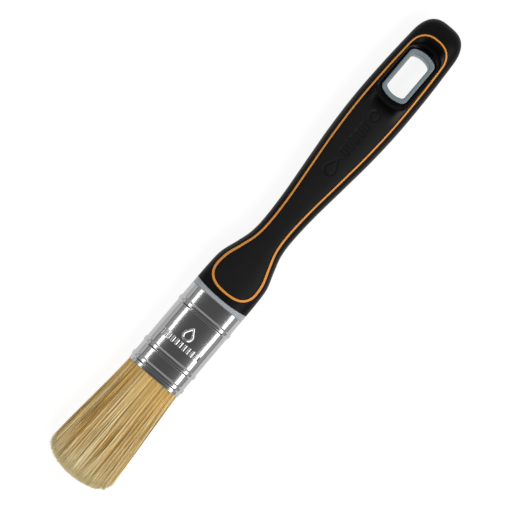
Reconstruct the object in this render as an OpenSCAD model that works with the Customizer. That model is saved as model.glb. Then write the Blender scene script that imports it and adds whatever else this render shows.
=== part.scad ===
// Flat oval paint brush, 25 mm wide, with natural bristles, a beaded steel ferrule and a
// moulded grip in three colours. It lies on its back: +X runs from the bristle tips to the
// hang hole, +Y across the brush, +Z out of its front face. The origin is on the surface that
// it lies on, under the middle of its length. Lengths marked s run along the handle from the
// ferrule's top edge.

/* [Lengths] */
// Free length of the bristles, past the ferrule
bristle_len = 51.5; // [44:0.5:60]
// Length of the ferrule
ferrule_len = 39.5; // [38:0.5:46]
// Length of the handle, past the ferrule
handle_len = 144; // [140:1:150]

/* [Ferrule] */
// Width of the ferrule
ferrule_w = 25.4; // [24.8:0.1:25.8]
// Thickness of the ferrule
ferrule_t = 13; // [12.4:0.1:13.4]
// Radius of its two narrow sides
ferrule_side_r = 5.725; // [5.425:0.1:6.025]
// Thickness of the sheet
ferrule_wall = 0.35; // [0.25:0.05:0.5]
// How far the rolled beads stand out
bead_h = 0.42; // [0.2:0.02:0.6]
// Width of a bead at its foot
bead_w = 2.8; // [2.2:0.1:3.2]
// Distance of the tenon's bead from the top edge
bead_top = 7.9; // [6:0.1:10]
// Distances of the two mouth beads from the mouth
bead_mouth = [10.1, 2.8]; // [2:0.1:16]

/* [Handle] */
// Length of the tenon inside the ferrule
tenon_len = 17; // [14:0.5:19]
// Glue gap around the tenon
bond_gap = 0.25; // [0.15:0.05:0.4]
// Width of the grey collar at its middle
collar_w = 1.7; // [1.2:0.1:3]
// Radius of the curved edge between the collar and the soft grip
collar_r = 68; // [60:1:90]
// Thickness of the core's plate
plate_t = 6.8; // [5:0.2:7.4]
// Thickness of the land under each pad
land_t = 9.6; // [8:0.2:10]

/* [Grip] */
// Width of the coloured stripe
stripe_w = 0.75; // [0.7:0.05:1.4]
// Distance of the stripe's centre line from the outline along the grip
stripe_inset = 2.8; // [2.4:0.1:3.2]
// The same around the bulb next to the ferrule
bulb_inset = 2.5; // [2.3:0.1:3]
// How far the pads lie below the frame of the grip
pad_drop = 0.4; // [0.2:0.05:0.6]

/* [Hang hole] */
// Place of the hang hole's centre, measured from the ferrule's top edge
hole_s = 117.6; // [114:0.2:119]
// Length and width of the hole
hole_size = [18.6, 8.8]; // [6:0.2:20]
// Length and width of the ring around it
ring_size = [22.6, 12.3]; // [10:0.1:24]
// Height of the ring, face to face
ring_t = 10.4; // [9.8:0.2:11]

/* [Bristles] */
// Length of the resin block that the bristle roots are set in
epoxy_len = 10; // [8:0.5:12]
// Length, width and thickness of the wooden strip that splits the bristles
strip_size = [16, 17, 2.6]; // [2:0.2:18]

/* [Hidden] */
$fn = 96;

total_len = bristle_len + ferrule_len + handle_len;
tip_x = -total_len / 2;
mouth_x = tip_x + bristle_len;
top_x = mouth_x + ferrule_len;
far = 60;          // past everything, for the cutting blocks
skin = 0.02;       // thickness of the slices that the lofts are drawn between

// The outline of the handle: half widths at places s, for a handle 144 mm long
width_rows = [[0, 12.65], [12, 12.45], [17, 11.9], [24, 9.6], [30, 7.9], [37, 7.35], [50, 7.9],
    [66, 9.45], [82, 10.95], [98, 11.7], [114, 11.55], [130, 10.85], [144, 9.9]];
// The side view of the handle: half thicknesses of the pads' crests at places s
thick_rows = [[0, 6.3], [12, 7.1], [20, 7.2], [36, 5.9], [48, 5.8], [72, 6.9], [94, 7.2],
    [120, 6.5], [144, 5.4]];
// The bristles: half widths and half thicknesses at distances from the mouth
spread_rows = [[-20, 12.3], [0, 12.33], [11, 13.05], [31, 14.5], [44, 15.1], [52, 15.3]];
loft_rows = [[-20, 6.1], [0, 6.12], [14, 6.8], [30, 7.15], [42, 6.7], [52, 5]];
section_power = 2.7;       // 2 is an ellipse, more is squarer
end_w = [11, 2.5, 3];      // rounding of the handle's end in plan: its length and two powers
end_t = [7, 2, 2.4];       // rounding of the handle's end from the side
tip_w = [8, 2, 2.6];       // rounding of the bristle tips in plan
tip_t = [9, 2, 2];         // rounding of the bristle tips from the side
bristle_side = 0.886;      // radius of the bristles' narrow sides over their half thickness
stripe_s = [4.9, 135.8];   // where the stripe's loop crosses the middle of the handle
stripe_foot = [8.3, 2.6, 2.6];
stripe_arch = [8, 2.5, 2.5];
plate_edge = 1.5;          // the plate's edge lies this far inside the outline
plate_end = 4.5;           // and this far from the handle's end
plate_start = -1;          // it starts inside the tenon
land_inset = 5.6;          // the land's edge lies this far inside the outline
land_s = [9, 101];
mid_z = max([for (s = [0 : handle_len]) half_t(s)]);
ring_cap = [6.6, 2.6];     // twice the height of the ring's arched end, and its corner radius
hole_cap = [4.4, 1.6];
dish_margin = 1.7;         // how far the dish around the ring reaches past it
dish_t = 12.4;             // the dish's edge, face to face

// ---- shape functions ----

// A smooth curve through rows of [place, value]
function row_at(rows, x, i = 0) =
    (i >= len(rows) - 2 || x < rows[i + 1][0]) ? i : row_at(rows, x, i + 1);
function slope(rows, i) =
    let (a = max(i - 1, 0), b = min(i + 1, len(rows) - 1))
    (rows[b][1] - rows[a][1]) / (rows[b][0] - rows[a][0]);
function curve(rows, x) =
    let (i = row_at(rows, x), h = rows[i + 1][0] - rows[i][0], u = (x - rows[i][0]) / h)
    (1 + 2 * u) * (1 - u)^2 * rows[i][1] + u * (1 - u)^2 * h * slope(rows, i)
    + u^2 * (3 - 2 * u) * rows[i + 1][1] + u^2 * (u - 1) * h * slope(rows, i + 1);

// A rounded end: 1 along the shape, falling to 0 where the distance d to its end is 0
function rounded(d, end) =
    d >= end[0] ? 1 : (1 - (1 - max(d, 0) / end[0])^end[1])^(1 / end[2]);

function plain_half(s) = curve(width_rows, s * 144 / handle_len);
function half_w(s) = plain_half(s) * rounded(handle_len - s, end_w);
function half_t(s) = curve(thick_rows, s * 144 / handle_len);
function stripe_half(s) =
    let (grip = min(max((s - 20) / 20, 0), 1))
    (plain_half(s) - bulb_inset - grip * (stripe_inset - bulb_inset))
    * rounded(s - stripe_s[0], stripe_foot) * rounded(stripe_s[1] - s, stripe_arch);

// Places along a length, closer together at a rounded end
function places(from, to, step, end) = concat(
    [for (s = [from : step : to - end - step / 2]) s],
    [for (i = [0 : 8]) to - end * (1 - sin(i * 90 / 8))]);

// A closed outline from a half width function's values at both sides of the middle line
function outline(side) = concat(side, [for (i = [len(side) - 1 : -1 : 0]) [side[i].x, -side[i].y]]);

function superellipse(a, b, n = 36) = [for (i = [0 : n - 1])
    let (c = cos(360 * i / n), s = sin(360 * i / n), p = 2 / section_power)
    [a * sign(c) * abs(c)^p, b * sign(s) * abs(s)^p]];

// A flat oval is four arcs: two wide faces of a large radius, and two narrow sides of radius r
function side_y(w, r) = w / 2 - r;
function face_r(w, t, r) = (side_y(w, r)^2 + (t / 2)^2 - r^2) / (t - 2 * r);
function face_a(w, t, r) = atan2(side_y(w, r), face_r(w, t, r) - t / 2);
function flat_oval(w, t, r, n = 8) =
    let (c = side_y(w, r), f = face_r(w, t, r), a = face_a(w, t, r), drop = f - t / 2)
    concat(
        [for (i = [0 : n]) let (g = (90 - a) * (2 * i / n - 1)) [c + r * cos(g), r * sin(g)]],
        [for (i = [1 : n - 1]) let (g = 90 - a + 2 * a * i / n) [f * cos(g), f * sin(g) - drop]],
        [for (i = [0 : n]) let (g = 180 + (90 - a) * (2 * i / n - 1)) [r * cos(g) - c, r * sin(g)]],
        [for (i = [1 : n - 1]) let (g = 270 - a + 2 * a * i / n) [f * cos(g), f * sin(g) + drop]]);

// Its front half, flat along the middle
function half_oval(w, t, r) = [for (p = flat_oval(w, t, r)) if (p.y >= 0) p];

// A long hole with two arched ends
function slot(size, cap) = [for (p = flat_oval(size[1], cap[0], cap[1]))
    [p.y + sign(p.y) * (size[0] - cap[0]) / 2, p.x]];

// ---- shared solids ----

// Places an outline across the brush at x and runs it len towards the hang hole
module across(x, len) {
    translate([x, 0, mid_z]) rotate([90, 0, 90]) linear_extrude(len) children();
}

// Stands a plan outline up from z0 to z1, heights measured from the middle of the brush
module upright(z0, z1) {
    translate([top_x, 0, mid_z + z0]) linear_extrude(z1 - z0) children();
}

// Joins outlines with equal numbers of points, each across the brush at its own x, x falling
module loft(xs, rings) {
    n = len(rings[0]);
    last = len(rings) - 1;
    polyhedron(
        [for (i = [0 : last]) for (p = rings[i]) [xs[i], p.x, mid_z + p.y]],
        concat([[for (j = [n - 1 : -1 : 0]) j]], [[for (j = [0 : n - 1]) last * n + j]],
            [for (i = [0 : last - 1]) for (j = [0 : n - 1])
                let (a = i * n, b = a + n, k = (j + 1) % n)
                each [[a + j, a + k, b + j], [a + k, b + k, b + j]]]));
}

// The ferrule's oval, shrunk by inset all round
module ferrule_oval(inset) {
    polygon(flat_oval(ferrule_w - 2 * inset, ferrule_t - 2 * inset, ferrule_side_r - inset));
}

// The whole handle's outside; rise lifts its faces above the pads' surface
module envelope(rise) {
    stops = places(0, handle_len, 3.5, end_w[0]);
    module slice(s) {
        lift = (half_t(s) + rise) * rounded(handle_len - s, end_t);
        across(top_x + s, skin) polygon(superellipse(half_w(s), lift));
    }
    for (i = [0 : len(stops) - 2]) hull() {
        slice(stops[i]);
        slice(min(stops[i + 1], handle_len - skin));
    }
}

// The part of the handle that the collar takes, up to its curved edge
module collar_zone() {
    difference() {
        translate([top_x - far, -far / 2, -far / 2]) cube([far + 8, far, far]);
        translate([top_x + collar_w + collar_r, 0, -far]) cylinder(r = collar_r, h = 2 * far);
    }
}

// The stripe's loop, grown by grow
module stripe_loop(grow) {
    side = [for (s = concat([for (i = [1 : 6]) stripe_s[0] + stripe_foot[0] * (1 - cos(i * 15))],
        places(stripe_s[0] + stripe_foot[0] + 3, stripe_s[1], 3.5, stripe_arch[0])))
        [s, stripe_half(s)]];
    offset(delta = grow) polygon(outline(concat([[stripe_s[0], 0]], side)));
}

module plate_outline() {
    end = handle_len - plate_end;
    polygon(outline([for (s = places(plate_start, end, 4, end_w[0]))
        [s, (plain_half(max(s, 0)) - plate_edge) * rounded(end - s, end_w)]]));
}

module land_outline() {
    polygon(outline([for (s = places(land_s[0], land_s[1], 5, 5))
        [s, (plain_half(s) - land_inset) * rounded(s - land_s[0] + 1, [6, 2, 2])
            * rounded(land_s[1] - s, [5, 2, 2])]]));
}

module ring_outline() {
    translate([hole_s, 0]) polygon(slot(ring_size, ring_cap));
}

module hole_outline() {
    translate([hole_s, 0]) polygon(slot(hole_size, hole_cap));
}

// Leaves a front piece where it is (side 1), or turns it over to the back (side -1)
module faced(side) {
    translate([0, 0, mid_z]) scale([1, 1, side]) translate([0, 0, -mid_z]) children();
}

// One soft pad, on the front or on the back
module pad(side) {
    faced(side) difference() {
        intersection() {
            envelope(0);
            upright(plate_t / 2, far) stripe_loop(-stripe_w / 2);
        }
        upright(0, land_t / 2) land_outline();
        upright(0, far) ring_outline();
        hull() {
            upright(ring_t / 2, ring_t / 2 + skin) ring_outline();
            upright(dish_t / 2, far / 4) offset(delta = dish_margin) ring_outline();
        }
    }
}

// One stripe, on the front or on the back
module stripe(side) {
    faced(side) intersection() {
        envelope(pad_drop);
        upright(plate_t / 2, far) difference() {
            stripe_loop(stripe_w / 2);
            stripe_loop(-stripe_w / 2);
        }
    }
}

// Half of the bristles, in front of or behind the wooden strip
module bristles(side) {
    root = -(ferrule_len - tenon_len - epoxy_len);
    stops = places(root, bristle_len, 6, tip_w[0]);
    rings = [for (d = stops)
        let (w = curve(spread_rows, d) * rounded(bristle_len - d + 0.4, tip_w),
            t = curve(loft_rows, d) * rounded(bristle_len - d + 0.6, tip_t))
        half_oval(2 * w, 2 * t, bristle_side * t)];
    faced(side) difference() {
        loft([for (d = stops) mouth_x - d], rings);
        strip_block();
    }
}

module strip_block() {
    translate([top_x - tenon_len - strip_size[0] - 2, -strip_size[1] / 2, mid_z - strip_size[2] / 2])
        cube(strip_size);
}

// ---- the pieces ----

// Rigid grey moulding: the tenon, the collar, the plate inside the grip and the hang hole's ring
module handle_core() {
    color("#9ca5aa") difference() {
        union() {
            across(top_x - tenon_len, tenon_len + 1) ferrule_oval(ferrule_wall + bond_gap);
            intersection() {
                across(top_x, 6) ferrule_oval(0.1);
                collar_zone();
            }
            upright(-plate_t / 2, plate_t / 2) plate_outline();
            upright(-land_t / 2, land_t / 2) land_outline();
            upright(-ring_t / 2, ring_t / 2) ring_outline();
        }
        upright(-far / 2, far / 2) hole_outline();
    }
}

// Glue between the tenon and the ferrule
module tenon_bond() {
    color("#d8cfae") across(top_x - tenon_len, tenon_len - 1) difference() {
        ferrule_oval(ferrule_wall);
        ferrule_oval(ferrule_wall + bond_gap);
    }
}

// Soft black frame, moulded round the edge of the plate
module outer_grip() {
    color("#1c1c1e") difference() {
        envelope(pad_drop);
        collar_zone();
        upright(-far / 2, far / 2) stripe_loop(stripe_w / 2);
        upright(-plate_t / 2, plate_t / 2) plate_outline();
    }
}

module front_stripe() {
    color("#e4943a") stripe(1);
}

module back_stripe() {
    color("#e4943a") stripe(-1);
}

module front_pad() {
    color("#1e1e20") pad(1);
}

module back_pad() {
    color("#1e1e20") pad(-1);
}

// Plated steel sleeve: one wall profile turned about each of the oval's four arcs in turn
module ferrule() {
    beads = [ferrule_len - bead_top, bead_mouth[0], bead_mouth[1]];
    flank = 0.5;
    foot = bead_w / 2;
    line = [for (x = beads) each
        [[x + foot, 0], [x + foot - flank, bead_h], [x - foot + flank, bead_h], [x - foot, 0]]];
    wall = concat([[ferrule_len, 0]], line, [[0, 0]]);
    big_r = face_r(ferrule_w, ferrule_t, ferrule_side_r);
    half_a = face_a(ferrule_w, ferrule_t, ferrule_side_r);
    // One stretch of wall of outer radius r, swept to both sides of angle mid
    module arc(r, mid, half) {
        profile = concat([for (p = wall) [r + p.y, p.x]],
            [for (i = [len(wall) - 1 : -1 : 0]) [r - ferrule_wall + wall[i].y, wall[i].x]]);
        rotate_extrude(angle = half, start = mid) polygon(profile);
        rotate_extrude(angle = half, start = mid - half) polygon(profile);
    }
    color("#b9bbbd") translate([mouth_x, 0, mid_z]) rotate([90, 0, 90])
        for (turn = [0, 180]) rotate([0, 0, turn]) {
            translate([side_y(ferrule_w, ferrule_side_r), 0, 0])
                arc(ferrule_side_r, 0, 90 - half_a);
            translate([0, ferrule_t / 2 - big_r, 0]) arc(big_r, 90, half_a);
        }
}

// Resin that the bristle roots and the end of the strip are set in
module epoxy_set() {
    color("#c9a86a") difference() {
        across(top_x - tenon_len - epoxy_len, epoxy_len) ferrule_oval(ferrule_wall + 0.02);
        strip_block();
    }
}

// Wooden strip that holds the bristles apart, which leaves room for paint
module spacer_strip() {
    color("#c7a273") strip_block();
}

module front_bristles() {
    color("#d3b06c") bristles(1);
}

module back_bristles() {
    color("#c9a560") bristles(-1);
}

handle_core();
tenon_bond();
outer_grip();
front_stripe();
back_stripe();
front_pad();
back_pad();
ferrule();
epoxy_set();
spacer_strip();
front_bristles();
back_bristles();
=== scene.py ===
import math

import bmesh
import bpy
import numpy as np
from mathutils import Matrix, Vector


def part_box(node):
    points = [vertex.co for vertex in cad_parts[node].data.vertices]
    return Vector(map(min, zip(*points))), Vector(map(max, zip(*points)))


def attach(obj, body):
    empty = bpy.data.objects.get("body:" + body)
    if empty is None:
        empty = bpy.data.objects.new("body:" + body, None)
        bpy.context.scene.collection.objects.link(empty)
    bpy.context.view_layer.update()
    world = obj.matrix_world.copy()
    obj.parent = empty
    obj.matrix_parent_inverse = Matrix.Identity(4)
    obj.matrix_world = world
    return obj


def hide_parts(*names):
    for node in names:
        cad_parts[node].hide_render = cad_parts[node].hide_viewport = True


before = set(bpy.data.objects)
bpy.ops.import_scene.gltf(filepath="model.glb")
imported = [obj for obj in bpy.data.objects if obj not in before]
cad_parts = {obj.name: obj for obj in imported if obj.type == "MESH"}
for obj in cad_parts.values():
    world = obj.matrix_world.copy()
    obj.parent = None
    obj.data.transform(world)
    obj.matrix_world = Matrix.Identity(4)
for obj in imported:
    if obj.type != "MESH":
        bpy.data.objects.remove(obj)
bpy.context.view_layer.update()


# ---- Table, camera and light ----
# The brush lies on a pale table, between two softboxes in a grey studio. The camera looks
# straight down, and is turned so that the brush runs from the lower left to the upper right.

view_x = -0.0026
view_height = 0.8073
brush_angle = math.radians(49.7)

camera = bpy.data.objects.new("camera", bpy.data.cameras.new("camera"))
camera.location = (view_x, 0, view_height)
camera.rotation_euler = (0, 0, -brush_angle)
camera.data.lens = 140.6
camera.data.sensor_width = 36
camera.data.clip_end = 20
bpy.context.collection.objects.link(camera)
bpy.context.scene.camera = camera
bpy.context.scene.view_settings.view_transform = "Standard"


def new_material(name):
    """A material, its nodes, its links and its surface shader."""
    made = bpy.data.materials.new(name)
    made.use_nodes = True
    nodes, links = made.node_tree.nodes, made.node_tree.links
    return made, nodes, links, nodes["Principled BSDF"]


table_half = 3.0
table_color = (0.2, 0.2, 0.2, 1)
table_glow = 0.87

table = bpy.data.meshes.new("table")
table.from_pydata(
    [(x * table_half, y * table_half, 0) for x, y in ((-1, -1), (1, -1), (1, 1), (-1, 1))],
    [], [(0, 1, 2, 3)])
table = bpy.data.objects.new("table", table)
bpy.context.collection.objects.link(table)
table_paint, nodes, links, shader = new_material("table_paint")
shader.inputs["Base Color"].default_value = table_color
shader.inputs["Roughness"].default_value = 0.9
shader.inputs["Specular IOR Level"].default_value = 0.1
shader.inputs["Emission Color"].default_value = (1, 1, 1, 1)
shader.inputs["Emission Strength"].default_value = table_glow
table.data.materials.append(table_paint)


def softbox(name, lean, aside, size, power):
    """A lamp that leans from straight above towards +Y (lean, degrees) and aims at the brush."""
    lamp = bpy.data.lights.new(name, "AREA")
    lamp.shape = "RECTANGLE"
    lamp.size, lamp.size_y = size
    lamp.energy = power
    lean = math.radians(lean)
    made = bpy.data.objects.new(name, lamp)
    made.location = (aside, lamp_distance * math.sin(lean), lamp_distance * math.cos(lean))
    made.rotation_euler = (-lean, 0, 0)
    bpy.context.collection.objects.link(made)


lamp_distance = 1.2
softbox("wide_softbox", -38, -0.3, (1.9, 0.5), 10.8)
softbox("narrow_softbox", 23, -0.3, (2.6, 0.055), 2.2)

studio = bpy.data.worlds.new("studio")
bpy.context.scene.world = studio
studio.use_nodes = True
nodes, links = studio.node_tree.nodes, studio.node_tree.links
place = nodes.new("ShaderNodeTexCoord")
split = nodes.new("ShaderNodeSeparateXYZ")
links.new(place.outputs["Generated"], split.inputs[0])


def studio_wall(axis, low, levels, over=None, mode="MULTIPLY"):
    """Grey levels of the studio along one axis, from low to 1, laid over the ones before."""
    spread = nodes.new("ShaderNodeMapRange")
    spread.inputs["From Min"].default_value = low
    ramp = nodes.new("ShaderNodeValToRGB")
    stops = ramp.color_ramp.elements
    for stop, (position, level) in zip((stops[0], stops[1]), (levels[0], levels[-1])):
        stop.position, stop.color = (position - low) / (1 - low), (level, level, level, 1)
    for position, level in levels[1:-1]:
        stops.new((position - low) / (1 - low)).color = (level, level, level, 1)
    links.new(split.outputs[axis], spread.inputs["Value"])
    links.new(spread.outputs["Result"], ramp.inputs[0])
    if over is None:
        return ramp.outputs["Color"]
    mix = nodes.new("ShaderNodeMix")
    mix.data_type, mix.blend_type = "RGBA", mode
    mix.inputs["Factor"].default_value = 1
    links.new(over, mix.inputs["A"])
    links.new(ramp.outputs["Color"], mix.inputs["B"])
    return mix.outputs["Result"]


# darker overhead than at the sides, dark beyond the tips, and a dark band before the end at +Y
light = studio_wall("Z", 0, ((0.03, 0.1), (0.06, 0.5), (0.6, 0.58), (0.87, 0.5), (0.925, 0.22),
                             (0.985, 0.14)))
light = studio_wall("X", -1, ((-0.8, 0.14), (-0.65, 1.0), (1, 1.0)), light)
light = studio_wall("Y", 0, ((0.7, 1.0), (0.74, 0.2), (0.78, 0.2), (0.8, 1.0)), light)
light = studio_wall("Y", 0, ((0.79, 0.0), (0.81, 0.25)), light, "ADD")
links.new(light, nodes["Background"].inputs["Color"])


# ---- Bristles ----
# Natural hog bristle, in two halves of thousands of hairs. The roots stand side by side in the
# ferrule, and the hairs spread, draw together in tufts and end in pale, ragged tips.

MM = 0.001                # sizes from here on are in millimetres, and the meshes in metres
ferrule_low, ferrule_high = (np.array(corner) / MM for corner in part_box("ferrule"))
mouth_x, top_x = ferrule_low[0], ferrule_high[0]
mid_z = (ferrule_low[2] + ferrule_high[2]) / 2
tip_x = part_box("front_bristles")[0][0] / MM
bristle_len = mouth_x - tip_x


def curve(rows, x):
    """A smooth curve through rows of (place, value)."""
    places, values = np.array(rows, float).T
    last = len(places) - 1
    before, after = np.maximum(np.arange(last + 1) - 1, 0), np.minimum(np.arange(last + 1) + 1, last)
    slopes = (values[after] - values[before]) / (places[after] - places[before])
    i = np.clip(np.searchsorted(places, x, side="right") - 1, 0, last - 1)
    h = places[i + 1] - places[i]
    u = (x - places[i]) / h
    return ((1 + 2 * u) * (1 - u) ** 2 * values[i] + u * (1 - u) ** 2 * h * slopes[i]
            + u ** 2 * (3 - 2 * u) * values[i + 1] + u ** 2 * (u - 1) * h * slopes[i + 1])


def step(low, high, x):
    """0 below low, 1 above high, smooth between them."""
    u = np.clip((x - low) / (high - low), 0, 1)
    return u * u * (3 - 2 * u)


def face_arc(width, thickness, side_r):
    """A flat oval's wide faces: where the narrow sides' centres lie, the faces' radius and half angle."""
    side_y = width / 2 - side_r
    face_r = (side_y ** 2 + (thickness / 2) ** 2 - side_r ** 2) / (thickness - 2 * side_r)
    return side_y, face_r, math.atan2(side_y, face_r - thickness / 2)


def add_object(name, mesh, material):
    """A piece of the brush, riding on its one body."""
    made = bpy.data.objects.new(name, mesh)
    bpy.context.collection.objects.link(made)
    mesh.materials.append(material)
    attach(made, "root")
    return made


# half width of the bristles and thickness of each half, at distances from the ferrule's mouth
spread_rows = ((-20, 12.2), (0, 12.25), (11, 13.0), (31, 14.4), (44, 15.0), (52, 15.2))
loft_rows = ((-20, 6.0), (0, 6.05), (14, 6.65), (30, 6.9), (42, 6.85), (52, 6.3))
hairs = 3400              # in each half on a square grid; the closer rows make it about 3,900
hair_root = -6.0          # the hairs are drawn from this far inside the ferrule
hair_radius = (0.085, 0.13)
hair_rings = np.array([0, 0.11, 0.24, 0.38, 0.52, 0.66, 0.8, 0.93, 1.0])
hair_taper = np.array([0.85, 0.9, 1, 1, 1.05, 1.1, 1.15, 1.0, 0.35])     # at the rings
hair_sides = 3
root_side = 0.44          # radius of the mouth's narrow sides, as a part of its thickness
root_fill = 0.85          # part of the mouth's box that the roots fill
root_rows = 0.866         # gap between rows of roots, as a part of the gap along them
root_jitter = 0.28
crown_across = 8.2        # the outermost hairs are this much shorter than the middle ones,
crown_through = 1.8       # across the brush and through its thickness
ragged = (1.1, 5)         # single hairs end this much sooner, on average and at most
tuft_gap = 0.36
tuft_pull = 0.6
tuft_sway = (0.35, 0.24)  # lean and bend of the tufts at the tips
hair_sway = (0.36, 0.16)  # the same for single hairs
stray_part, stray_sway = 0.02, 2.4       # this part of the hairs leans this many times as far
edge_half, edge_power = 15.9, 3.2        # outline that the hairs at the sides stay in
tuft_tone, hair_tone = 0.28, 0.32        # spread of the tones
dark_part, dark_tone = 0.08, 0.5         # this part of the hairs is darker by this much


def hair_roots(rng):
    """Places of the roots over the front half of the ferrule's mouth, in even, jittered rows."""
    width, thickness = 2 * spread_rows[1][1], 2 * loft_rows[1][1]
    side = root_side * thickness
    side_y, face_r, half_a = face_arc(width, thickness, side)
    gap = math.sqrt(root_fill * width * thickness / 2 / hairs)
    y, z = [], []
    for i, row in enumerate(np.arange(0.5 * gap, thickness / 2, gap * root_rows)):
        across = np.arange(-width / 2 + gap / 2 * (i % 2), width / 2, gap)
        y.append(across)
        z.append(np.full(len(across), row))
    y, z = np.concatenate(y), np.concatenate(z)
    y = y + rng.normal(0, root_jitter * gap, len(y))
    z = np.abs(z + rng.normal(0, root_jitter * gap, len(z)))
    ceiling = np.where(
        np.abs(y) > side_y + side * math.sin(half_a),
        np.sqrt(np.maximum(side ** 2 - (np.abs(y) - side_y) ** 2, 0)),
        np.sqrt(np.maximum(face_r ** 2 - y ** 2, 0)) - (face_r - thickness / 2))
    kept = z < ceiling - 0.05
    return y[kept], z[kept]


def hair_paths(rng):
    """Centres of each hair's rings: their distance from the mouth, y and z. Then each hair's tuft,
    and the number of tufts."""
    y0, z0 = hair_roots(rng)
    count = len(y0)
    root_y, root_z = spread_rows[1][1], loft_rows[1][1]
    length = bristle_len - crown_across * (
        1 - np.sqrt(np.maximum(1 - np.abs(y0 / root_y) ** 2.1 * 0.98, 0)))
    length -= crown_through * (1 - np.sqrt(np.maximum(1 - (z0 / root_z) ** 2 * 0.98, 0)))
    length -= np.minimum(rng.exponential(ragged[0], count), ragged[1])
    # tufts: each hair leans to the nearest of some scattered lines
    tufts = int(root_y * 2 / tuft_gap) * int(root_z / tuft_gap + 1)
    tuft_y = rng.uniform(-root_y, root_y, tufts)
    tuft_z = rng.uniform(0, root_z, tufts)
    nearest = np.argmin((y0[:, None] - tuft_y) ** 2 + (z0[:, None] - tuft_z) ** 2, axis=1)
    tuft_lean = rng.normal(0, tuft_sway[0], (tufts, 2))
    hair_lean = rng.normal(0, hair_sway[0], (count, 2))
    hair_bend = rng.normal(0, hair_sway[1], (count, 2))
    hair_phase = rng.uniform(0, 2 * math.pi, count)
    tuft_bend = rng.normal(0, tuft_sway[1], (tufts, 2))
    tuft_phase = rng.uniform(0, 2 * math.pi, tufts)
    hair_lean[rng.random(count) < stray_part] *= stray_sway
    # the hairs spread from the mouth, draw together, lean and wave
    d = hair_root + (length[:, None] - hair_root) * hair_rings
    along = np.clip(d / bristle_len, 0, 1)
    pull = tuft_pull * step(0.03, 0.6, along) * (1 - 0.35 * step(0.75, 1.0, along))
    y = (y0[:, None] + (tuft_y[nearest] - y0)[:, None] * pull) * curve(spread_rows, d) / root_y
    z = (z0[:, None] + (tuft_z[nearest] - z0)[:, None] * pull) * curve(loft_rows, d) / root_z
    lean = along ** 1.6
    wave = np.sin(hair_phase[:, None] + 5.5 * along) * along
    swing = np.sin(tuft_phase[nearest, None] + 5 * along) * along
    y = y + (tuft_lean[nearest, 0] + hair_lean[:, 0])[:, None] * lean
    y = y + hair_bend[:, :1] * wave + tuft_bend[nearest, :1] * swing
    z = z + (tuft_lean[nearest, 1] + hair_lean[:, 1])[:, None] * lean * 0.8
    z = z + hair_bend[:, 1:] * wave + tuft_bend[nearest, 1:] * swing
    # none goes far into the other half or out of the bristles' outline
    z = np.maximum(z, -0.6 * along)
    limit = curve(loft_rows, d) * np.sqrt(np.maximum(1 - (np.abs(y) / edge_half) ** edge_power, 0.02))
    return d, y, np.minimum(z, limit + 0.12), nearest, tufts


def hair_tubes(name, side, paths, rng):
    """The hairs as three-sided tapered tubes, each unwrapped to its own cell in a square grid."""
    d, y, z = paths
    count, rings = d.shape
    radius = rng.uniform(*hair_radius, count)[:, None] * hair_taper
    spin = rng.uniform(0, 2 * math.pi, count)
    angle = spin[:, None] + np.arange(hair_sides) * 2 * math.pi / hair_sides
    points = np.empty((count, rings, hair_sides, 3))
    points[..., 0] = (mouth_x - d)[:, :, None]
    points[..., 1] = y[:, :, None] + radius[:, :, None] * np.cos(angle)[:, None, :]
    points[..., 2] = z[:, :, None] + radius[:, :, None] * np.sin(angle)[:, None, :]
    points[..., 2] = mid_z + side * points[..., 2]
    # quads round each hair, and a closing face at both ends
    hair = np.arange(count)[:, None, None] * rings * hair_sides
    ring = np.arange(rings - 1)[None, :, None] * hair_sides
    a, b = np.arange(hair_sides), (np.arange(hair_sides) + 1) % hair_sides
    quads = np.stack([hair + ring + a, hair + ring + b, hair + ring + hair_sides + b,
                      hair + ring + hair_sides + a], axis=-1).reshape(-1, 4)
    ends = np.concatenate([hair[:, 0] + [2, 1, 0], hair[:, 0] + (rings - 1) * hair_sides + [0, 1, 2]])
    # corners of the quads in the cell: rings up it, sides across it
    grid = math.ceil(math.sqrt(count))
    cell = np.stack([np.arange(count) % grid, np.arange(count) // grid], -1)
    across = np.stack([a, a + 1, a + 1, a], -1)[None, None] / hair_sides
    up = (ring[..., None] // hair_sides + np.array([0, 0, 1, 1])) / (rings - 1)
    spot = np.stack(np.broadcast_arrays(across, up), -1)
    if side > 0:
        quads, ends, spot = quads[:, ::-1], ends[:, ::-1], spot[..., ::-1, :]
    quad_uv = ((cell[:, None, None, None] + 0.1 + 0.8 * spot) / grid).reshape(-1, 2)
    end_uv = np.repeat((cell + 0.5) / grid, hair_sides, 0)
    mesh = bpy.data.meshes.new(name)
    mesh.from_pydata((points.reshape(-1, 3) * MM).tolist(), [], quads.tolist() + ends.tolist())
    mesh.shade_smooth()
    unwrapped = mesh.uv_layers.new(name="OFBake")
    unwrapped.data.foreach_set("uv", np.concatenate([quad_uv, end_uv, end_uv]).reshape(-1))
    return mesh


def hair_shades(mesh, d, nearest, tufts, rng):
    """A shade for each point: a tone for its tuft and its hair, and how far along the hair it is."""
    count, rings = d.shape
    along = np.clip(d / bristle_len, 0, 1)
    tone = tuft_tone * rng.normal(0, 1, tufts)[nearest] + hair_tone * rng.normal(0, 1, count)
    tone[rng.random(count) < dark_part] -= dark_tone
    tone = tone[:, None] * (0.5 + 0.6 * step(0.0, 0.4, along)) + 0.5 + 0.32 * along
    stored = np.zeros((count, rings, hair_sides, 3))
    stored[..., 0] = np.clip(tone, 0, 1)[:, :, None]
    stored[..., 1] = along[:, :, None]
    shade = mesh.attributes.new("hair_shade", "FLOAT_VECTOR", "POINT")
    shade.data.foreach_set("vector", stored.reshape(-1))


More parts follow.
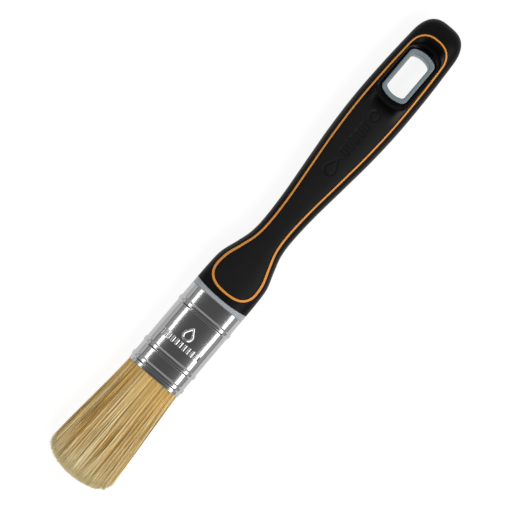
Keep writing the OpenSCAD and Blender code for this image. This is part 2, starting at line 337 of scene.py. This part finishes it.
hog_bristle, nodes, links, shader = new_material("hog_bristle")
shade = nodes.new("ShaderNodeAttribute")
shade.attribute_name = "hair_shade"
split = nodes.new("ShaderNodeSeparateXYZ")
tones = nodes.new("ShaderNodeValToRGB")
blonde = nodes.new("ShaderNodeMix")
blonde.data_type = "RGBA"
tip_ramp = nodes.new("ShaderNodeMapRange")
links.new(shade.outputs["Vector"], split.inputs[0])
links.new(split.outputs["X"], tones.inputs[0])
tones.color_ramp.elements[0].position = 0.0
tones.color_ramp.elements[0].color = (0.30, 0.15, 0.03, 1)
tones.color_ramp.elements[1].position = 1.0
tones.color_ramp.elements[1].color = (1.0, 0.87, 0.53, 1)
for position, color in ((0.3, (0.76, 0.47, 0.12, 1)), (0.6, (0.97, 0.69, 0.24, 1))):
    tones.color_ramp.elements.new(position).color = color
tip_ramp.inputs["From Min"].default_value = 0.68
tip_ramp.inputs["From Max"].default_value = 1.0
tip_ramp.inputs["To Max"].default_value = 0.6
links.new(split.outputs["Y"], tip_ramp.inputs["Value"])
links.new(tip_ramp.outputs["Result"], blonde.inputs["Factor"])
links.new(tones.outputs["Color"], blonde.inputs["A"])
blonde.inputs["B"].default_value = (1.0, 0.91, 0.57, 1)
links.new(blonde.outputs["Result"], shader.inputs["Base Color"])
shader.inputs["Roughness"].default_value = 0.42
shader.inputs["Specular IOR Level"].default_value = 0.45

for name, node, side, seed in (("bristles_front", "front_bristles", 1, 11),
                               ("bristles_back", "back_bristles", -1, 12)):
    rng = np.random.default_rng(seed)
    *paths, nearest, tufts = hair_paths(rng)
    mesh = hair_tubes(name, side, paths, rng)
    hair_shades(mesh, paths[0], nearest, tufts, rng)
    half = add_object(name, mesh, hog_bristle)
    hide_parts(node)


# ---- Spacer strip and resin ----
# A thin sawn strip of wood stands between the two halves of the bristles, and the roots
# and the strip's end are cast in amber resin. Both stay hidden inside the ferrule.


def fine_noise(nodes, links, scale, detail=4, stretch=(1, 1, 1)):
    """Noise over the piece's own coordinates, stretched."""
    place = nodes.new("ShaderNodeTexCoord")
    turn = nodes.new("ShaderNodeMapping")
    turn.inputs["Scale"].default_value = stretch
    noise = nodes.new("ShaderNodeTexNoise")
    noise.inputs["Scale"].default_value = scale
    noise.inputs["Detail"].default_value = detail
    links.new(place.outputs["Object"], turn.inputs["Vector"])
    links.new(turn.outputs["Vector"], noise.inputs["Vector"])
    return noise


def two_tones(nodes, links, noise, shader, dark, light):
    """Base colour that wanders between two tones."""
    mix = nodes.new("ShaderNodeMix")
    mix.data_type = "RGBA"
    mix.inputs["A"].default_value = (*dark, 1)
    mix.inputs["B"].default_value = (*light, 1)
    links.new(noise.outputs["Fac"], mix.inputs["Factor"])
    links.new(mix.outputs["Result"], shader.inputs["Base Color"])


def grain(nodes, links, noise, shader, depth):
    """A bump of depth metres from the noise."""
    bump = nodes.new("ShaderNodeBump")
    bump.inputs["Strength"].default_value = 1
    bump.inputs["Distance"].default_value = depth
    links.new(noise.outputs["Fac"], bump.inputs["Height"])
    links.new(bump.outputs["Normal"], shader.inputs["Normal"])


def dress(node, material):
    """Give a CAD node its material."""
    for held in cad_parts[node].material_slots:
        held.material = material


beech, nodes, links, shader = new_material("sawn_beech")
wood_noise = fine_noise(nodes, links, 900, stretch=(0.08, 1, 1))
two_tones(nodes, links, wood_noise, shader, (0.42, 0.25, 0.11), (0.62, 0.42, 0.22))
grain(nodes, links, wood_noise, shader, 0.00008)
shader.inputs["Roughness"].default_value = 0.7
dress("spacer_strip", beech)

resin, nodes, links, shader = new_material("amber_resin")
two_tones(nodes, links, fine_noise(nodes, links, 250), shader, (0.48, 0.30, 0.10), (0.62, 0.43, 0.17))
shader.inputs["Roughness"].default_value = 0.25
dress("epoxy_set", resin)


# ---- Ferrule ----
# Nickel-plated sheet steel, drawn to a flat oval, with three rolled beads that stiffen it
# and grip the tenon and the bristle roots. A drop and a row of plain bars are stamped in
# its front face.

ferrule_w = 25.4
ferrule_t = 13.0
ferrule_side_r = 5.725
ferrule_wall = 0.35
ferrule_len = top_x - mouth_x
bead_places = (7.9, 29.4, 36.7)      # from the top edge
bead_h = 0.42
bead_flat = 0.5
bead_slope = 0.9
rim_round, rim_drop = 0.18, 0.12     # both rims are rounded over
stamp_h = 0.17
stamp_slope = (-0.26, 0.2)
stamp_line = 0.32                    # half the width of the drop's line
drop_tip = 13.9                      # from the top edge
drop_neck, drop_middle, drop_r = 3.3, 3.9, 2.25      # neck's length, round body's middle and radius
bar_row = 22.3
bar_size = (1.25, 0.42)              # half height and half width
bar_gap = 1.9
bar_reach = 9.5                      # the row of bars goes this far to each side


def oval_points(width, thickness, side_r, along_faces, along_sides):
    """Points and outward normals round a flat oval, in (y, z)."""
    side_y, face_r, half_a = face_arc(width, thickness, side_r)
    drop = face_r - thickness / 2
    points, normals = [], []
    reach = math.pi / 2 - half_a
    for turn in (0, math.pi):
        for g in np.linspace(-reach, reach, along_sides, endpoint=False):
            normals.append((math.cos(g + turn), math.sin(g + turn)))
            points.append((math.cos(turn) * side_y + side_r * normals[-1][0], side_r * normals[-1][1]))
        for g in np.linspace(reach, math.pi - reach, along_faces, endpoint=False):
            normals.append((math.cos(g + turn), math.sin(g + turn)))
            points.append((face_r * normals[-1][0], face_r * normals[-1][1] - math.cos(turn) * drop))
    return np.array(points), np.array(normals)


def bead_height(t):
    """How far the beads stand out at places t from the ferrule's top edge."""
    lift = np.zeros_like(t)
    for place in bead_places:
        lift += bead_h * (1 - step(bead_flat, bead_flat + bead_slope, np.abs(t - place)))
    return lift


def drop_shape(from_tip, across, neck, middle, radius):
    """Distance to a drop's outline, negative inside: a neck that widens from the tip to a round body."""
    half = radius * 0.95 * np.clip(from_tip / neck, 0, 1) ** 0.85
    tapered = np.maximum(np.abs(across) - half, np.abs(from_tip - neck / 2) - neck / 2)
    return np.minimum(np.hypot(from_tip - middle, across) - radius, tapered)


def stamp_height(t, y):
    """The stamped drop and bars on the front face, as a soft-edged height."""
    drop = np.abs(drop_shape(t - drop_tip, y, drop_neck, drop_middle, drop_r) + 0.3) - stamp_line
    across = np.abs((np.abs(y) + bar_gap / 2) % bar_gap - bar_gap / 2)
    bars = np.maximum(np.abs(t - bar_row) - bar_size[0], across - bar_size[1])
    bars = np.where(np.abs(y) > bar_reach, 1.0, bars)
    return stamp_h * (1 - step(*stamp_slope, np.minimum(drop, bars)))


def rim_inset(distance):
    """How far a rounded rim lies inside the wall's face at a distance from the edge."""
    return rim_drop * (1 - np.sqrt(np.clip(1 - (1 - np.clip(distance / rim_round, 0, 1)) ** 2, 0, 1)))


def wall_points(t, loop, lift):
    """Points of the ferrule's wall at t from its top edge, lifted out of the plain oval."""
    return np.stack([
        top_x - t,
        oval[loop, 0] + oval_normals[loop, 0] * lift,
        mid_z + oval[loop, 1] + oval_normals[loop, 1] * lift], -1)


JOIN = 0.0002      # points closer than this, in millimetres, are one point


def swept(name, sections, material, sharp=40):
    """A closed skin over sections (loop, profile, xyz) in millimetres. Points that coincide are
    joined, and pairs of faces that then lie back to back are dropped."""
    loops, profile = sections.shape[:2]
    row, spot = np.meshgrid(np.arange(loops), np.arange(profile), indexing="ij")
    row, next_row = row * profile, (row + 1) % loops * profile
    next_spot = (spot + 1) % profile
    quads = np.stack([row + spot, next_row + spot, next_row + next_spot, row + next_spot], -1)
    spots = np.round(sections.reshape(-1, 3) / JOIN).astype(np.int64)
    _, first, joined = np.unique(spots, axis=0, return_index=True, return_inverse=True)
    points = sections.reshape(-1, 3)[first] * MM
    faces, seen = [], {}
    for quad in joined.reshape(-1)[quads.reshape(-1, 4)].tolist():
        corners = [v for v, after in zip(quad, quad[1:] + quad[:1]) if v != after]
        if len(set(corners)) == len(corners) > 2:
            key = frozenset(corners)
            seen[key] = seen.get(key, 0) + 1
            faces.append((key, corners))
    mesh = bpy.data.meshes.new(name)
    mesh.from_pydata(points.tolist(), [], [corners for key, corners in faces if seen[key] == 1])
    work = bmesh.new()
    work.from_mesh(mesh)
    bmesh.ops.delete(work, geom=[v for v in work.verts if not v.link_faces], context="VERTS")
    bmesh.ops.recalc_face_normals(work, faces=work.faces)
    work.to_mesh(mesh)
    work.free()
    mesh.shade_smooth()
    mesh.set_sharp_from_angle(angle=math.radians(sharp))
    return add_object(name, mesh, material)


nickel, nodes, links, shader = new_material("nickel_plate")
dents = fine_noise(nodes, links, 55, 1)
rough = nodes.new("ShaderNodeMapRange")
rough.inputs["To Min"].default_value = 0.1
rough.inputs["To Max"].default_value = 0.13
links.new(dents.outputs["Fac"], rough.inputs["Value"])
links.new(rough.outputs["Result"], shader.inputs["Roughness"])
grain(nodes, links, dents, shader, 0.00012)
shader.inputs["Metallic"].default_value = 1
shader.inputs["Base Color"].default_value = (0.46, 0.46, 0.465, 1)

oval, oval_normals = oval_points(ferrule_w, ferrule_t, ferrule_side_r, 150, 44)
# places from the top edge, close together on the beads, the stamp and the rims
rows = np.concatenate([
    np.linspace(0, 0.25, 4), np.linspace(0.6, 6, 10), np.linspace(6.4, 9.4, 25),
    np.linspace(9.9, 12.9, 6), np.linspace(13.1, 24.3, 88), np.linspace(24.8, 27.6, 5),
    np.linspace(27.9, 30.9, 25), np.linspace(31.3, 34.9, 6), np.linspace(35.2, 38.2, 25),
    np.linspace(38.5, ferrule_len - 0.25, 3), np.linspace(ferrule_len - 0.18, ferrule_len, 4)])
t, loop = np.meshgrid(rows, np.arange(len(oval)))
stamped = np.where(oval_normals[loop, 1] > 0.9, stamp_height(t, oval[loop, 0]), 0)
lift = bead_height(t) + stamped - rim_inset(np.minimum(t, ferrule_len - t))
outside = wall_points(t, loop, lift)
t, loop = np.meshgrid(rows[::-4], np.arange(len(oval)))
inside = wall_points(t, loop, bead_height(t) - ferrule_wall)
ferrule = swept("ferrule_sleeve", np.concatenate([outside, inside], 1), nickel)
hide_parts("ferrule")


# ---- Handle core ----
# One rigid grey moulding: the tenon that is glued into the ferrule, the collar that shows above
# it, a plate through the whole grip, and the ring that lines the hang hole, its grey painted a shade
# darker as painted shade.

handle_len = 144.0
# half width and half thickness, at places along the handle from the ferrule's top edge
width_rows = ((0, 12.65), (12, 12.45), (17, 11.9), (24, 9.6), (30, 7.9), (37, 7.35), (50, 7.9),
              (66, 9.45), (82, 10.95), (98, 11.7), (114, 11.55), (130, 10.85), (144, 9.9))
thick_rows = ((0, 6.3), (12, 7.1), (20, 7.2), (36, 5.9), (48, 5.8), (72, 6.9), (94, 7.2),
              (120, 6.5), (144, 5.4))
section_power = 2.7
end_w = (11, 2.5, 3)      # rounded end, seen from the front: its length and its curve's two powers
end_t = (7, 2, 2.4)       # the same, seen from the side
collar_w = 1.7
collar_r = 68.0
collar_y = (12.62, 13)    # where the collar's edge meets the handle's side, and where its curve ends
tenon_len = 17.0
bond_gap = 0.25
plate_half = 3.4
plate_ends = (4.0, 139.0)
plate_inset = 1.7
# the hole and the ring: length and width, then the length of the two arched ends put together
# and the radius of their corners
hole_s = 117.6
hole_size, hole_cap = (18.6, 8.8), (4.4, 1.6)
ring_size, ring_cap = (22.6, 12.3), (6.6, 2.6)
ring_half = 5.2           # half the ring's height


def rounded(d, end):
    """A rounded end: 1 along the shape, falling to 0 where the distance d to its end is 0."""
    return (1 - np.clip(1 - d / end[0], 0, 1) ** end[1]) ** (1 / end[2])


def plain_half(s):
    """Half the handle's width at s, without its rounded end."""
    return curve(width_rows, s)


def half_w(s):
    """Half the handle's width at s."""
    return plain_half(s) * rounded(handle_len - s, end_w)


def face_z(s, y, rise=0.0):
    """Height of the handle's face above its middle plane, at s along it and y across it."""
    crest = (curve(thick_rows, s) + rise) * rounded(handle_len - s, end_t)
    across = np.clip(np.abs(y) / np.maximum(half_w(s), 1e-9), 0, 1)
    return crest * (1 - across ** section_power) ** (1 / section_power)


def collar_edge(y):
    """Where the collar ends and the soft grip starts."""
    return collar_w + collar_r - np.sqrt(collar_r ** 2 - np.minimum(np.abs(y), collar_y[1]) ** 2)


def slot_outline(size, cap, per_arc=26):
    """A long hole or ring with two arched ends, from its near end, in (s, y)."""
    points, _ = oval_points(size[1], cap[0], cap[1], per_arc, 16)
    s = points[:, 1] + np.sign(points[:, 1]) * (size[0] - cap[0]) / 2
    return np.stack([hole_s + s, points[:, 0]], -1)


def length_along(path):
    """Length of a path up to each of its points."""
    return np.concatenate([[0], np.cumsum(np.hypot(*np.diff(path, axis=0).T))])


def at_lengths(path, wanted):
    """Points on a path at the wanted lengths."""
    run = length_along(path)
    return np.stack([np.interp(wanted, run, path[:, 0]), np.interp(wanted, run, path[:, 1])], -1)


def placed(s, y, z):
    """Points at s along the handle, y across it and z above its middle plane."""
    s, y, z = np.broadcast_arrays(s, y, z)
    return np.stack([top_x + s, y, mid_z + z], -1)


def satin_plastic(name, dark, light, roughness):
    """Moulded plastic with a fine skin."""
    made, nodes, links, shader = new_material(name)
    two_tones(nodes, links, fine_noise(nodes, links, 140), shader, dark, light)
    grain(nodes, links, fine_noise(nodes, links, 5200, 2), shader, 0.000012)
    shader.inputs["Roughness"].default_value = roughness
    return made


collar_grey = satin_plastic("collar_grey", (0.32, 0.345, 0.37), (0.355, 0.385, 0.41), 0.42)
# the ring is the collar's grey painted darker and bluer: painted shade of its recess round the hole
ring_grey_painted_shade = satin_plastic("ring_grey_painted_shade", (0.168, 0.21, 0.232), (0.2, 0.245, 0.268), 0.42)

# tenon and collar: places along the handle, and how far inside the ferrule's outline
oval, oval_normals = oval_points(ferrule_w, ferrule_t, ferrule_side_r, 60, 30)
stations = [(-tenon_len, 1.4), (-tenon_len + 0.15, 0.95), (-tenon_len + 0.6, ferrule_wall + bond_gap),
            (-0.02, ferrule_wall + bond_gap), (0.0, 0.3), (0.1, 0.14), (0.3, 0.1),
            (2.0, 0.1), (4.0, 0.1), (5.0, 0.1)]
collar = np.stack([placed(s, oval[:, 0] - oval_normals[:, 0] * inset,
                          oval[:, 1] - oval_normals[:, 1] * inset) for s, inset in stations], 1)
middle = [placed(s, oval[:, 0] * 0, oval[:, 1] * 0) for s in (stations[-1][0], -tenon_len)]
collar = np.concatenate([collar, np.stack(middle, 1)], 1)

# ring around the hang hole: parts of the way from the hole to the ring's outer edge, and heights
inner, outer = slot_outline(hole_size, hole_cap), slot_outline(ring_size, ring_cap)
ring_profile = [(0.0, 4.3), (0.03, 4.72), (0.1, 4.98), (0.22, 5.14), (0.4, ring_half), (0.7, ring_half),
                (0.84, 5.16), (0.94, 5.06), (0.99, 4.8), (1.0, 4.5)]
ring_profile += [(part, -z) for part, z in reversed(ring_profile)]
ring = np.stack([placed(*(inner + (outer - inner) * part).T, z) for part, z in ring_profile], 1)

# plate between them, from its inner edge (the ring, or the middle line) to its outer one
rim = outer[outer[:, 1] > 0]
rim = rim[np.argsort(rim[:, 0])]
s = np.concatenate([np.linspace(plate_ends[0], rim[0, 0], 60)[:-1], rim[:, 0],
                    np.linspace(rim[-1, 0], plate_ends[1], 40)[1:]])
edges = np.stack([np.interp(s, *rim.T, left=0, right=0), half_w(s) - plate_inset], -1)
s = np.concatenate([s[:1], s, s[-1:], s[::-1]])
edges = np.concatenate([edges[:1] * 0, edges, edges[:1] * 0, -edges[::-1]])
plate = np.stack([placed(s, edges[:, i], z * plate_half)
                  for i, z in ((0, -1), (0, 1), (1, 1), (1, -1))], 1)

for name, sections, plastic in (("core_ring", ring, ring_grey_painted_shade), ("core_collar", collar, collar_grey),
                                ("core_plate", plate, collar_grey)):
    made = swept(name, sections, plastic, 50)
    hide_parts("handle_core")

glue, nodes, links, shader = new_material("set_glue")
two_tones(nodes, links, fine_noise(nodes, links, 300), shader, (0.60, 0.54, 0.37), (0.72, 0.66, 0.47))
shader.inputs["Roughness"].default_value = 0.4
dress("tenon_bond", glue)


# ---- Stripes ----
# A thin orange bead of plastic on each face, a closed loop between the frame and the pad.

stripe_rows = ((0, 0.96), (10, 0.98), (20, 0.95), (30, 0.87), (45, 0.79), (60, 0.74), (85, 0.71),
               (136, 0.71))         # its width along the handle
stripe_inset = 2.8
bulb_inset = 2.5
bulb_ends = (20, 40)                # the bulb's inset turns into the grip's between these
stripe_s = (4.9, 135.8)
stripe_foot = (8.3, 2.6, 2.6)       # rounded ends of the loop, given as end_w is
stripe_arch = (8, 2.5, 2.5)
pad_drop = 0.4                      # the stripes and the grip stand this much above the pads
loop_step = 0.32                    # from point to point round the loop


def stripe_half(s):
    """Half the width between the two sides of the loop at s."""
    grip = np.clip((s - bulb_ends[0]) / (bulb_ends[1] - bulb_ends[0]), 0, 1)
    return ((plain_half(s) - bulb_inset - grip * (stripe_inset - bulb_inset))
            * rounded(s - stripe_s[0], stripe_foot) * rounded(stripe_s[1] - s, stripe_arch))


# one side of the loop's centre line, from the foot to the arch, then even steps along it
bow = 1 - np.cos(np.linspace(0, math.pi / 2, 160))
half_line = np.concatenate([
    stripe_s[0] + stripe_foot[0] * bow ** 1.5,
    np.linspace(stripe_s[0] + stripe_foot[0], stripe_s[1] - stripe_arch[0], 900)[1:-1],
    stripe_s[1] - stripe_arch[0] * bow[::-1] ** 1.5])
half_line = np.stack([half_line, stripe_half(half_line)], -1)
half_line[0, 1] = half_line[-1, 1] = 0
half_run = length_along(half_line)
steps = int(half_run[-1] / loop_step)
half_line = at_lengths(half_line, np.linspace(0, half_run[-1], steps + 1))
centre = np.concatenate([half_line, half_line[-2:0:-1] * (1, -1)])
tangent = np.roll(centre, -1, 0) - np.roll(centre, 1, 0)
tangent /= np.hypot(*tangent.T)[:, None]
outward = np.stack([-tangent[:, 1], tangent[:, 0]], -1)     # away from the pad
to_edge = outward * curve(stripe_rows, centre[:, 0])[:, None] / 2

orange = satin_plastic("stripe_orange", (0.67, 0.255, 0.028), (0.73, 0.285, 0.034), 0.38)

# parts of half the stripe's width, and heights above the face
stripe_profile = [(-1, -0.5), (-1, 0.0), (-0.88, 0.06), (-0.5, 0.1), (0.0, 0.12), (0.5, 0.1),
                  (0.88, 0.06), (1, 0.0), (1, -0.5)]
for name, node, side in (("stripe_front", "front_stripe", 1), ("stripe_back", "back_stripe", -1)):
    across = []
    for part, lift in stripe_profile:
        s, y = (centre + to_edge * part).T
        across.append(placed(s, y, side * (face_z(s, y, pad_drop) + lift)))
    for edge in (centre + to_edge, centre - to_edge):
        across.append(placed(*edge.T, side * plate_half))
    stripe = swept(name, np.stack(across, 1), orange, 60)
    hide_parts(node)


# ---- Outer grip ----
# Soft black rubber moulded round the plate's edge. It is the frame that shows outside the
# stripes, on both faces and round the sides.

def soft_rubber(name, dark, light, roughness, shine):
    """Black moulded rubber with a fine matt grain, its nodes, links and shader."""
    made, nodes, links, shader = new_material(name)
    two_tones(nodes, links, fine_noise(nodes, links, 260, 5), shader, (dark,) * 3, (light,) * 3)
    grain(nodes, links, fine_noise(nodes, links, 3800, 3), shader, 0.00003)
    shader.inputs["Roughness"].default_value = roughness
    shader.inputs["Specular IOR Level"].default_value = shine
    return made, nodes, links, shader


frame_rubber = soft_rubber("frame_rubber", 0.0008, 0.0022, 0.46, 0.12)[0]

# where each point of the loop looks to on the handle's outline: up to the knee on the collar's
# edge, then on the side, straight across it from the bend's end to the arch's start
corner = np.array([collar_edge(collar_y[0]), collar_y[0]])
collar_line = np.stack([collar_edge(np.linspace(0, corner[1], 80)), np.linspace(0, corner[1], 80)], -1)
side_s = np.concatenate([np.linspace(corner[0], handle_len - end_w[0], 900),
                         handle_len - end_w[0] * np.linspace(1, 0, 200)[1:] ** 3])
side_line = np.stack([side_s, half_w(side_s)], -1)
side_line[0] = corner
knee = int(np.argmin(np.abs(outward[:steps, 0] + outward[:steps, 1])))
bend_end = int(np.argmax(half_line[:, 0] > stripe_s[0] + stripe_foot[0] + 2))
arch_start = int(np.argmax(half_line[:, 0] > stripe_s[1] - stripe_arch[0]))
side_run = length_along(side_line)
loop_run = length_along(half_line)


def run_at(s):
    """Length of the handle's side line up to s."""
    return float(np.interp(s, side_line[:, 0], side_run))


def spread_over(first, last, low, high):
    """Lengths from low to high for the loop's points first..last, as they are spaced there."""
    part = (loop_run[first:last + 1] - loop_run[first]) / (loop_run[last] - loop_run[first])
    return low + part * (high - low)


outline = np.concatenate([
    at_lengths(collar_line, spread_over(0, knee, 0, length_along(collar_line)[-1])),
    at_lengths(side_line, spread_over(knee, bend_end, 0, run_at(half_line[bend_end, 0])))[1:],
    np.stack([half_line[bend_end + 1:arch_start + 1, 0],
              half_w(half_line[bend_end + 1:arch_start + 1, 0])], -1),
    at_lengths(side_line, spread_over(arch_start, steps, run_at(half_line[arch_start, 0]),
                                      side_run[-1]))[1:]])
outline = np.concatenate([outline, outline[-2:0:-1] * (1, -1)])

grip_inner = centre + to_edge
across_parts = np.concatenate([[0, 0.012, 0.03, 0.06], 1 - (1 - np.linspace(0.1, 1, 20)) ** 2.2])
edge_round = 0.32
wall_part = 0.45                    # the grip's inner wall stands this part of the way to the outline


def edge_drop(distance):
    """How far a rounded edge lies below the face at a distance from it."""
    return edge_round * (1 - np.sqrt(1 - (1 - np.clip(distance / edge_round, 0, 1)) ** 2))


front_rows = []
for part in across_parts:
    point = grip_inner + (outline - grip_inner) * part
    distance = np.hypot(*(point - grip_inner).T)
    s, y = point.T
    at_collar = edge_drop(np.maximum(s - collar_edge(y), 0))
    z = face_z(s, y, pad_drop) - edge_drop(distance)
    front_rows.append((s, y, np.maximum(z - np.minimum(at_collar, z * 0.5), 0)))
inner_wall = grip_inner + (outline - grip_inner) * wall_part
sections = [placed(s, y, z) for s, y, z in front_rows]
sections += [placed(s, y, -z) for s, y, z in reversed(front_rows)]
sections += [placed(*grip_inner.T, -plate_half), placed(*inner_wall.T, -plate_half),
             placed(*inner_wall.T, plate_half), placed(*grip_inner.T, plate_half)]
grip = swept("grip_frame", np.stack(sections, 1), frame_rubber)
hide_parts("outer_grip")


# ---- Pads ----
# Two soft black pads, moulded inside the stripes on the front and the back. Each is dished
# around the hang hole's ring, and carries a shallow generic drop, a row of plain bars and a
# round outline.

ring_overlap = 0.1                  # the pads are this much tighter than the ring
spine_start = 9.5                   # a pad's inner edge starts here, on the middle line
dish_floor = 3.9
dish_foot = -0.35                   # the floor ends at this part of the wall, measured from the ring
dish_wall = (1.9, 3.2)              # the wall's width beside the ring and at its two ends,
dish_turn = (8.5, 12.5)             # which it changes between these, from the hole's centre
dish_reach = (15.5, 20.5)           # the polished dish and its painted shade end between these
dish_roughness, pad_roughness = 0.17, 0.55
mark_depth = 0.45
mark_slope = (-0.25, 0.3)
mark_line = 0.35                    # half the width of the drop's and the round outline's line
mark_s = (76.6, 92.6)
mark_gap = 3.2
mark_size = (0.85, 2.1)             # half sizes of each bar, along the handle and across it
badge_tip = 74.4
badge_neck, badge_middle, badge_r = 4.8, 5.3, 2.7
dot_s, dot_r = 96.6, 2.3

pad_hole = tuple(size - ring_overlap for size in ring_size)
near, far = hole_s - pad_hole[0] / 2, hole_s + pad_hole[0] / 2
ring_line = slot_outline(pad_hole, ring_cap, 60)
ring_line = ring_line[ring_line[:, 1] > 1e-6]
ring_line = ring_line[np.argsort(-np.arctan2(ring_line[:, 1], ring_line[:, 0] - hole_s))]
ring_line = np.concatenate([[[near, 0]], ring_line, [[far, 0]]])
inner_path = np.concatenate([[[spine_start, 0]], ring_line])
ring_line = at_lengths(ring_line, np.linspace(0, length_along(ring_line)[-1], 200))
inner_run = length_along(inner_path)
spine_len = near - spine_start


def loop_at(s):
    """Length of the stripe's loop up to s."""
    return float(np.interp(s, half_line[:, 0], loop_run))


# lengths along the loop, and those along the pad's inner edge that they look to
anchors = [(0, 0), (loop_at(13), 1.5), (loop_at(100), 100 - spine_start), (loop_at(106.5), spine_len),
           (loop_at(129.5), inner_run[-1] - 4.0), (loop_run[-1], inner_run[-1])]
inner_at = np.interp(loop_run, *zip(*anchors))
pad_inner = at_lengths(inner_path, inner_at)
pad_inner[[0, -1], 1] = 0
pad_inner = np.concatenate([pad_inner, pad_inner[-2:0:-1] * (1, -1)])
pad_outer = centre - to_edge
pad_parts = np.concatenate([[0, 0.006, 0.015, 0.03], np.linspace(0.05, 1, 32)])


def distance_to_ring(s, y):
    """How far points lie from the ring's edge."""
    path = np.concatenate([ring_line, ring_line[::-1] * (1, -1)])
    gaps = np.hypot(s[:, None] - path[:, 0], y[:, None] - path[:, 1])
    return gaps.min(1)


def pad_mark(s, y):
    """The shallow drop, row of bars and round outline pressed into the pad, as a depth."""
    beside = np.abs((s - mark_s[0]) % mark_gap - mark_gap / 2)
    bars = np.maximum(beside - mark_size[0], np.abs(y) - mark_size[1])
    bars = np.where((s > mark_s[0]) & (s < mark_s[1]), bars, 1.0)
    drop = drop_shape(badge_tip - s, y, badge_neck, badge_middle, badge_r)
    dot = np.hypot(s - dot_s, y) - dot_r
    outlines = np.minimum(np.abs(drop + mark_line), np.abs(dot + mark_line)) - mark_line
    return mark_depth * (1 - step(*mark_slope, np.minimum(outlines, bars)))


# the dish is polished, and its colour is painted deeper black than the rest of the pad as painted shade
pad_rubber, nodes, links, shader = soft_rubber("pad_rubber", 0.0036, 0.006, pad_roughness, 0.15)
from_hole = nodes.new("ShaderNodeVectorMath")
from_hole.operation = "SUBTRACT"
from_hole.inputs[1].default_value = ((top_x + hole_s) * MM, 0, 0)
along_hole = nodes.new("ShaderNodeSeparateXYZ")
size_of = nodes.new("ShaderNodeMath")
size_of.operation = "ABSOLUTE"
past_dish = nodes.new("ShaderNodeMapRange")
past_dish.inputs["From Min"].default_value = dish_reach[0] * MM
past_dish.inputs["From Max"].default_value = dish_reach[1] * MM
polish = nodes.new("ShaderNodeMapRange")
polish.inputs["To Min"].default_value = dish_roughness
polish.inputs["To Max"].default_value = pad_roughness
# painted shade: inside the dish the pad's colour is mixed down to near black
dish_painted_shade = nodes.new("ShaderNodeMix")
dish_painted_shade.data_type = "RGBA"
dish_painted_shade.inputs["A"].default_value = (0.0003, 0.0003, 0.0003, 1)
links.new(nodes.new("ShaderNodeTexCoord").outputs["Object"], from_hole.inputs[0])
links.new(from_hole.outputs["Vector"], along_hole.inputs[0])
links.new(along_hole.outputs["X"], size_of.inputs[0])
links.new(size_of.outputs[0], past_dish.inputs["Value"])
links.new(past_dish.outputs["Result"], polish.inputs["Value"])
links.new(polish.outputs["Result"], shader.inputs["Roughness"])
links.new(past_dish.outputs["Result"], dish_painted_shade.inputs["Factor"])
links.new(shader.inputs["Base Color"].links[0].from_socket, dish_painted_shade.inputs["B"])
links.new(dish_painted_shade.outputs["Result"], shader.inputs["Base Color"])

for name, node, side in (("pad_front", "front_pad", 1), ("pad_back", "back_pad", -1)):
    across = []
    for part in pad_parts:
        s, y = (pad_outer + (pad_inner - pad_outer) * part).T
        gap = np.hypot(*(pad_outer - np.stack([s, y], -1)).T)
        wall = dish_wall[0] + (dish_wall[1] - dish_wall[0]) * step(*dish_turn, np.abs(s - hole_s))
        face = face_z(s, y) - edge_drop(gap) - pad_mark(s, y)
        z = dish_floor + (face - dish_floor) * step(dish_foot, 1, distance_to_ring(s, y) / wall)
        across.append(placed(s, y, side * z))
    across += [placed(*pad_inner.T, side * plate_half), placed(*pad_outer.T, side * plate_half)]
    pad = swept(name, np.stack(across, 1), pad_rubber)
    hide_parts(node)
